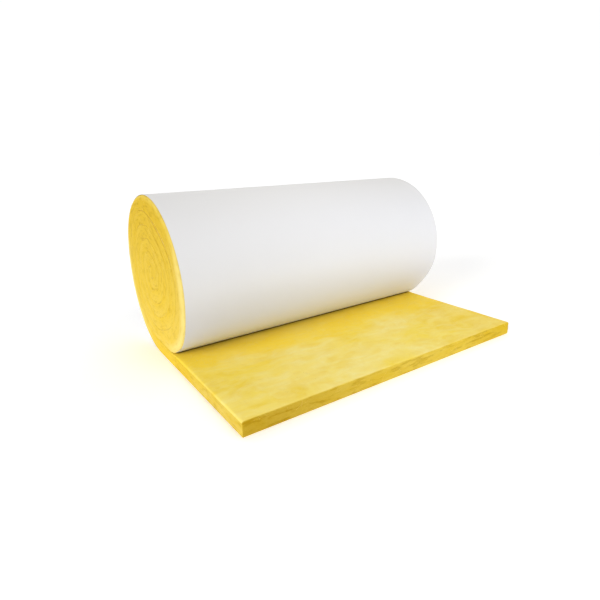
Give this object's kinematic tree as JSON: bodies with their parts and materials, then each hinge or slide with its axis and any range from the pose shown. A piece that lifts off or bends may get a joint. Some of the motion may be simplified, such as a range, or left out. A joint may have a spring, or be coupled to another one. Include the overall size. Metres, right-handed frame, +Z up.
{
  "type": "insulation roll",
  "caption": "Roll of soft glass wool building insulation with a thin pale facing on its outer side, lying on the floor with its free end drawn out flat to the front.",
  "frame": {"origin": "on the floor, under the middle of the whole outline of the roll and its free end", "axes": "+X along the roll's axis, which is the blanket's width; -Y to the front, the way the free end is drawn out; +Z up"},
  "size_m": [1.2, 0.949, 0.588],
  "materials": {
    "wool": "loose yellow glass fibre, matt, with paler wisps",
    "facing": "smooth white vapour barrier sheet with a soft sheen"
  },
  "bodies": {
    "root": {"wool_blanket": "wool", "facing": "facing"}
  },
  "joints": []
}
